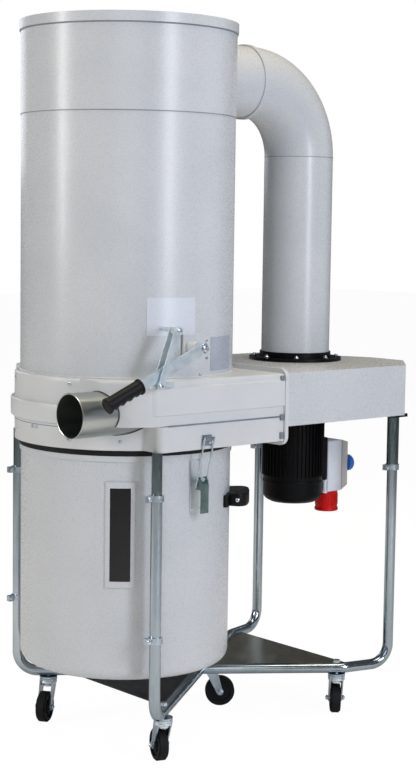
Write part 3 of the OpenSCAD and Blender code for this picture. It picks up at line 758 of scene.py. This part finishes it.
LID_OUT = 11 * MM              # the lid and knob stand further out than the plain box behind them
LID_SHARE = 0.34               # of the whole depth
LID_SLOPE_Y = 13 * MM          # how far the lid's face is drawn in at each side
LID_SLOPE_Z = 9 * MM           # and at its head and foot
LID_SCREW = 8 * MM             # from the face's edge to its screws
BOX_BACK = 17 * MM             # the base starts this far out from the plain box's back


def switch_box():
    """Moulded box: a plain base, a lid with sloped edges, a line between them and four lid screws."""
    low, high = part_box("switch_box")
    high.x += LID_OUT
    middle_y, middle_z = (low.y + high.y) / 2, (low.z + high.z) / 2
    split = low.x + (high.x - low.x) * (1 - LID_SHARE)
    base = block((low.x + BOX_BACK, low.y, low.z), (split - 0.8 * MM, high.y, high.z), 3 * MM, 3)
    settle(base, "switch_box_base", GREY_ABS)
    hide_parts("switch_box")
    lid = plain_box(((split + high.x) / 2, middle_y, middle_z),
                    (high.x - split, high.y - low.y - 1 * MM, high.z - low.z - 1 * MM))
    for v in lid.data.vertices:
        if v.co.x > split + 5 * MM:
            v.co.y += LID_SLOPE_Y if v.co.y < middle_y else -LID_SLOPE_Y
            v.co.z += LID_SLOPE_Z if v.co.z < middle_z else -LID_SLOPE_Z
    bevel(lid, 3 * MM, 3)
    # The lid's darker warm grey is painted shade.
    settle(lid, "switch_box_lid", SHADED_LID_ABS)
    seam = block((split - 2 * MM, low.y + 1.5 * MM, low.z + 1.5 * MM),
                 (split + 2 * MM, high.y - 1.5 * MM, high.z - 1.5 * MM), 1 * MM)
    settle(seam, "switch_box_seal", SEALANT)
    in_y, in_z = LID_SLOPE_Y + LID_SCREW, LID_SLOPE_Z + LID_SCREW
    spots = [facing((high.x, y, z), (1, 0, 0))
             for y in (low.y + in_y, high.y - in_y) for z in (low.z + in_z, high.z - in_z)]
    settle(copies(pan_head(3.2 * MM, 1.6 * MM), spots), "lid_screws", GREY_ABS)


def switch_knob():
    """Blue cap with a ribbed rim and a domed face."""
    low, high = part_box("switch_cap")
    r = (high.y - low.y) / 2
    h = high.x - low.x
    stand = facing((low.x + LID_OUT, (low.y + high.y) / 2, (low.z + high.z) / 2), (1, 0, 0))
    cap = lathe([(CORE, 0), (r, 0), (r, h * 0.3), (r * 0.93, h * 0.36), (r * 0.9, h * 0.8),
                 (r * 0.8, h * 0.95), (r * 0.5, h), (CORE, h)], 48)
    place(cap, stand)
    settle(cap, "switch_knob", BLUE_ABS)
    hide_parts("switch_cap")
    rib = plain_box((r * 0.93, 0, h * 0.58), (r * 0.1, 2 * MM, h * 0.42))
    bevel(rib, 0.5 * MM)
    ribs = copies(rib, turned_by(stand, range(0, 360, 20)))
    settle(ribs, "switch_knob_ribs", BLUE_ABS)


def plug_socket():
    """Grip ribs and a rim round the red power inlet."""
    low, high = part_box("plug_inlet")
    centre = (low + high) / 2
    r = (high.x - low.x) / 2
    rib = plain_box((r, 0, high.z - 24 * MM), (2.2 * MM, 2.6 * MM, 30 * MM))
    bevel(rib, 0.7 * MM)
    ribs = copies(rib, turned_by(Matrix.Translation((centre.x, centre.y, 0)), range(0, 360, 15)))
    settle(ribs, "socket_ribs", RED_ABS)
    rim = lathe([(r - 1 * MM, 0), (r + 1.4 * MM, 0), (r + 1.8 * MM, 1 * MM), (r + 1.8 * MM, 6 * MM),
                 (r + 1.2 * MM, 7 * MM), (r - 1 * MM, 7 * MM)], 56)
    place(rim, Matrix.Translation((centre.x, centre.y, low.z + 1 * MM)))
    settle(rim, "socket_rim", RED_ABS)


# ---------------------------------------------------------------- frame, brackets and tray
CLIP_HEIGHTS = ((862, 880), (776, 790), (733, 748))    # foot and head, mm


def frame_clips():
    """Spring clips behind the clamping frame, at its corners and at the seam."""
    clips = [block(at(230, -288.5, foot), at(240.5, -283, head), 1.2 * MM) for foot, head in CLIP_HEIGHTS]
    settle(join(clips), "frame_clips", SEAM_GREY)


def leg_brackets():
    """The near corner bracket: its upstand against the fan box's end, and its arm to the leg."""
    low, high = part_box("fan_box")
    foot = low.z - 7 * MM
    outside = high.x + 3.4 * MM
    inner_y, outer_y, arm_y = (at(0, y, 0).y for y in (-140, -172, -235))
    upstand = block((high.x + 0.2 * MM, outer_y, foot), (outside, inner_y, low.z + 28 * MM), 0.8 * MM)
    settle(upstand, "corner_bracket_upstand", BLACK_PAINT)
    arm = block((at(680, 0, 0).x, arm_y, foot), (outside, inner_y, low.z - 3 * MM), 0.8 * MM)
    for v in arm.data.vertices:
        if v.co.y < at(0, -190, 0).y and v.co.x > at(720, 0, 0).x:
            v.co.x -= 60 * MM
    settle(arm, "corner_bracket_arm", BLACK_PAINT)


BRAKED = 3                     # the one caster with a brake pedal
PEDAL_BOW = 36.0               # per metre, how far its ends bow down


def brake_pedal(hub, trail, axle, caster):
    """A bowed pedal over the wheel."""
    brake = plain_box((0, 0, 0), (30 * MM, 20 * MM, 8 * MM))
    subdivide(brake, 3)
    for v in brake.data.vertices:
        v.co.z -= PEDAL_BOW * v.co.x ** 2
    bevel(brake, 1.2 * MM)
    turn = Matrix((trail, axle, Vector((0, 0, 1)))).transposed().to_4x4()
    place(brake, Matrix.Translation(hub + trail * 26 * MM + Vector((0, 0, 38 * MM))) @ turn)
    settle(brake, "brake_pedal_%d" % BRAKED, BLACK_PLASTIC, caster)


def caster_parts():
    """Axle nuts, a swivel race and its cup on every caster, and a brake pedal on one."""
    for i in range(1, 5):
        hub = middle("caster_wheel_%d" % i)
        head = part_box("caster_fork_%d" % i)[1].z
        caster = "caster_%d" % i
        pivot = turning_points["caster_%d_swivel" % i]
        trail = Vector((hub.x - pivot.x, hub.y - pivot.y, 0)).normalized()
        axle = Vector((-trail.y, trail.x, 0))
        spots = [facing(hub + axle * side * 18.6 * MM, axle * side) for side in (-1, 1)]
        nuts = copies(hex_nut(6.5 * MM, 4.2 * MM, 0.55, 0.4), spots)
        settle(nuts, "axle_nuts_%d" % i, BRIGHT_ZINC, caster, 30)
        crown = lathe([(8 * MM, 0), (20.5 * MM, 0), (21.5 * MM, 1.5 * MM), (21.5 * MM, 3.5 * MM),
                       (17 * MM, 6.6 * MM), (8 * MM, 6.6 * MM)], 48)
        place(crown, Matrix.Translation((pivot.x, pivot.y, head - 6.6 * MM)))
        settle(crown, "swivel_race_%d" % i, LIT_ZINC, caster)
        cup = lathe([(CORE, 0), (11 * MM, 0), (13 * MM, 2 * MM), (13 * MM, 7 * MM), (19 * MM, 7.5 * MM),
                     (21 * MM, 9.5 * MM), (21 * MM, 13 * MM), (19.5 * MM, 15 * MM), (CORE, 15 * MM)], 48)
        place(cup, Matrix.Translation((pivot.x, pivot.y, head - 22.1 * MM)))
        settle(cup, "race_cup_%d" % i, LIT_ZINC, caster)
        if i == BRAKED:
            brake_pedal(hub, trail, axle, caster)


# x of the tube, y to each side and height, mm.
CLAMPS = ((-123, 268, 626), (-123, 268, 307), (660, 246, 625.7))


def clamp_bolts():
    """A bolt through the lug of each leg clamp, on both sides."""
    spots = [facing(at(x - 24, side * y - 6, z), (0, -1, 0)) for x, y, z in CLAMPS for side in (-1, 1)]
    bolts = copies(hex_nut(5 * MM, 3.6 * MM, 0.5, 0.6), spots)
    settle(bolts, "clamp_bolts", BRIGHT_ZINC, smooth=30)


LATCH_X = 6                    # mm, from the drum's axis to the latches' middle
RIVET_OUT = 2.8                # mm, from a wall to the face of the plate riveted on it


def latch_rivets():
    """Rivets through each latch's base plate and the keeper above it."""
    spots = []
    for side in (-1, 1):
        for x in (LATCH_X - 11, LATCH_X + 11):
            for z in (588, 690):
                spots.append(facing(at(x, side * (BIN_R / MM + RIVET_OUT), z), (0, side, 0)))
        for x in (LATCH_X - 9, LATCH_X + 9):
            spots.append(facing(at(x, side * (HOUSING_HALF + RIVET_OUT), 741), (0, side, 0)))
    settle(copies(pan_head(2.8 * MM, 1.8 * MM), spots), "latch_rivets", BRIGHT_ZINC, smooth=30)


# The bin's pull: first and last angle in degrees, foot and head in mm.
PULL = (-57, -31, 574, 604)
PULL_BACK = 247.4              # mm, where its back lies on the bin's wall


def handle_screws():
    """Screws in both ends of the bin's pull."""
    first, last, foot, head = PULL
    z = (foot + head) / 2 * MM
    spots = []
    for angle, way in ((first, -1), (last, 1)):
        point, out = round_drum(angle, z, BIN_R + 28 * MM)
        along = Vector((-out[1], out[0], 0)) * way
        spots.append(facing(point - along * 0.3 * MM, along))
    settle(copies(pan_head(5 * MM, 2.2 * MM), spots), "handle_screws", BRIGHT_ZINC, smooth=30)


def left_wall(y, z):
    """How far left the mouldings' wall stands at the inlet, all in millimetres."""
    round_end = -math.sqrt(HOUSING_R ** 2 - y ** 2)
    if z <= SEAM_Z / MM + SEAM_GAP:
        return round_end if y > -228 else FLAT_LEFT
    heart = Vector((INLET_LEFT + INLET_ROUND, -(HOUSING_HALF - INLET_ROUND)))
    swollen = INLET_LEFT
    if y < heart.y:
        swollen = heart.x - math.sqrt(INLET_ROUND ** 2 - (y - heart.y) ** 2)
    return min(swollen, round_end)


def inlet_bead():
    """Sealant where the inlet pipe enters the mouldings, and a rolled lip at its mouth."""
    pipe = middle("inlet_pipe")
    r = size("inlet_pipe").y / 2
    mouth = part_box("inlet_pipe")[0].x
    lip = lathe([(r - 2.6 * MM, 0), (r - 1 * MM, -0.7 * MM), (r + 0.2 * MM, 0), (r + 0.2 * MM, 1.8 * MM),
                 (r - 2.6 * MM, 1.8 * MM)], 72)
    place(lip, facing((mouth, pipe.y, pipe.z), (1, 0, 0)))
    settle(lip, "inlet_lip", STEEL_PIPE)
    steps = 72
    line = bpy.data.curves.new("inlet_sealant", "CURVE")
    line.dimensions = "3D"
    line.bevel_depth = 1.3 * MM
    line.bevel_resolution = 2
    spline = line.splines.new("POLY")
    spline.points.add(steps - 1)
    spline.use_cyclic_u = True
    for i, point in enumerate(spline.points):
        turn = math.tau * i / steps
        y = (pipe.y - DRUM.y) / MM + (r / MM - 0.1) * math.cos(turn)
        z = pipe.z / MM + (r / MM - 0.1) * math.sin(turn)
        point.co = (*at(left_wall(y, z) - 0.2, y, z), 1)
    obj = bpy.data.objects.new("inlet_sealant", line)
    bpy.context.scene.collection.objects.link(obj)
    pick([obj])
    bpy.ops.object.convert(target="MESH")
    settle(bpy.context.object, "inlet_sealant", DARK_GAP, smooth=60)


def bin_pull():
    """Moulded pull: a closed top, a curved front and a hollow for the fingers, with a foot beside it."""
    first, last, foot, head = PULL
    pull = arc_block(PULL_BACK, 294, first, last, foot, head, 15, 0.32)
    cut(pull, arc_block(253, 287, first + 5, last - 5, foot - 6, head - 7, 11))
    bevel(pull, 2.6 * MM, 3, angle_limit=math.radians(40))
    settle(pull, "bin_pull", BLACK_PLASTIC)
    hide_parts("bin_handle")
    ear = arc_block(PULL_BACK, 257, first - 4.5, first + 1, foot - 1, head - 2, 5, 0.3)
    bevel(ear, 2.0 * MM, 3, angle_limit=math.radians(40))
    settle(ear, "bin_pull_foot", BLACK_PLASTIC)


def front_tray():
    """Flat three-cornered sheet between the floor tubes."""
    low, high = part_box("front_tray")
    sheet = start("circle", vertices=3, radius=0.1, fill_type="NGON")
    corners = ((high.x, (low.y + high.y) / 2), (low.x, high.y), (low.x, low.y))
    for v, (x, y) in zip(sheet.data.vertices, corners):
        v.co = (x, y, high.z)
    bpy.ops.object.mode_set(mode="EDIT")
    bpy.ops.mesh.select_all(action="SELECT")
    bpy.ops.mesh.extrude_region_move(TRANSFORM_OT_translate={"value": (0, 0, -3 * MM)})
    bpy.ops.mesh.select_all(action="SELECT")
    bpy.ops.mesh.normals_make_consistent(inside=False)
    bpy.ops.object.mode_set(mode="OBJECT")
    bevel(sheet, 0.6 * MM)
    settle(sheet, "front_tray_sheet", DARK_TRAY)
    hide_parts("front_tray")


separator_housing()
seams()
flange_nuts()
housing_screws()
drum_rivets()
pivot_bolt()
guide_bolts()
lever_grip()
drum_plate("blank_plate_wide", -118.2, -90.7, 981, 1065, WHITE_FILM)
drum_plate("blank_plate_narrow", -78.7, -56.6, 897, 974, GREY_FILM)
motor()
switch_box()
switch_knob()
plug_socket()
frame_clips()
leg_brackets()
caster_parts()
clamp_bolts()
latch_rivets()
bin_pull()
front_tray()
handle_screws()
inlet_bead()


# ---------------------------------------------------------------- camera, floor and light
FLOOR_SHARE = 0.93             # of the floor's white that the camera sees glow by itself
FLOOR_GLOW = 1.04

# name, heading from the drum in degrees, distance and height in metres, width and height of
# the panel in metres, tint, watts
LAMPS = (
    ("strip_left", 161, 3.2, 2.0, 0.38, 1.8, "#FBF9F8", 48),
    ("strip_front", -86, 3.2, 1.8, 0.6, 2.0, "#EDF0FF", 52),
    ("soft_camera", -128, 5.0, 2.4, 2.5, 2.5, "#EEF8FF", 34),
    ("soft_left", -172, 4.0, 1.4, 2.0, 2.0, "#FFE4C4", 5),
    ("soft_right", -30, 4.2, 1.6, 2.2, 2.2, "#DDF2FF", 11),
    ("top", -60, 0.5, 4.4, 2.4, 2.4, "#FFEFD4", 98),
    ("back", 80, 4.0, 2.4, 2.0, 2.0, "#F4F6FF", 24),
)


def studio():
    """White ground, pale surroundings and soft lamps."""
    floor = start("plane", size=40.0)
    made, tree = new_material("white_studio_floor")
    plain = add(tree, "ShaderNodeBsdfDiffuse", {"Color": colour("#F4F4F4")}).outputs["BSDF"]
    glow = add(tree, "ShaderNodeEmission", {"Color": (1, 1, 1, 1), "Strength": FLOOR_GLOW})
    path = add(tree, "ShaderNodeLightPath")
    share = add(tree, "ShaderNodeMath", {"operation": "MULTIPLY"}, {0: path.outputs["Is Camera Ray"]})
    share.inputs[1].default_value = FLOOR_SHARE
    mix = add(tree, "ShaderNodeMixShader", links={
        0: share.outputs["Value"], 1: plain, 2: glow.outputs["Emission"]})
    add(tree, "ShaderNodeOutputMaterial", links={"Surface": mix.outputs["Shader"]})
    floor.data.materials.append(made)
    floor.name = "studio_floor"

    world = bpy.data.worlds.new("studio")
    bpy.context.scene.world = world
    world.use_nodes = True
    tree = world.node_tree
    tree.nodes.clear()
    path = add(tree, "ShaderNodeLightPath")
    seen = add(tree, "ShaderNodeMath", {"operation": "ADD"},
               {0: path.outputs["Is Camera Ray"], 1: path.outputs["Is Transmission Ray"]})
    soft = add(tree, "ShaderNodeBackground", {"Color": colour("#E9EEF5"), "Strength": 0.1})
    clear = add(tree, "ShaderNodeBackground", {"Color": (1, 1, 1, 1), "Strength": 1.0})
    mix = add(tree, "ShaderNodeMixShader", links={
        0: seen.outputs["Value"], 1: soft.outputs["Background"], 2: clear.outputs["Background"]})
    add(tree, "ShaderNodeOutputWorld", links={"Surface": mix.outputs["Shader"]})

    for name, heading, reach, height, wide, tall, tint, power in LAMPS:
        lamp = bpy.data.lights.new(name, "AREA")
        lamp.shape = "RECTANGLE"
        lamp.size = wide
        lamp.size_y = tall
        lamp.energy = power
        lamp.color = colour(tint)[:3]
        obj = bpy.data.objects.new(name, lamp)
        turn = math.radians(heading)
        spot = Vector((DRUM.x + reach * math.cos(turn), DRUM.y + reach * math.sin(turn), height))
        aim = Vector((DRUM.x, DRUM.y, min(height, 1.1)))
        obj.location = spot
        obj.rotation_euler = (aim - spot).to_track_quat("-Z", "Y").to_euler()
        bpy.context.scene.collection.objects.link(obj)


CAMERA_SPOT = Vector((-2.6265, -3.0431, 1.2324))
CAMERA_HEADING = 40.99         # degrees from +Y towards +X
CAMERA_PITCH = 5.60            # degrees below level
CAMERA_ROLL = 0.79             # degrees
CAMERA_LENS = 77.35            # mm


def camera():
    """One camera at chest height, with a long lens."""
    data = bpy.data.cameras.new("camera")
    data.lens = CAMERA_LENS
    obj = bpy.data.objects.new("camera", data)
    turn = (Matrix.Rotation(math.radians(-CAMERA_HEADING), 4, "Z")
            @ Matrix.Rotation(math.radians(90 - CAMERA_PITCH), 4, "X")
            @ Matrix.Rotation(math.radians(CAMERA_ROLL), 4, "Z"))
    obj.matrix_world = Matrix.Translation(CAMERA_SPOT) @ turn
    bpy.context.scene.collection.objects.link(obj)
    bpy.context.scene.camera = obj


bpy.context.scene.view_settings.view_transform = "Standard"
camera()
studio()
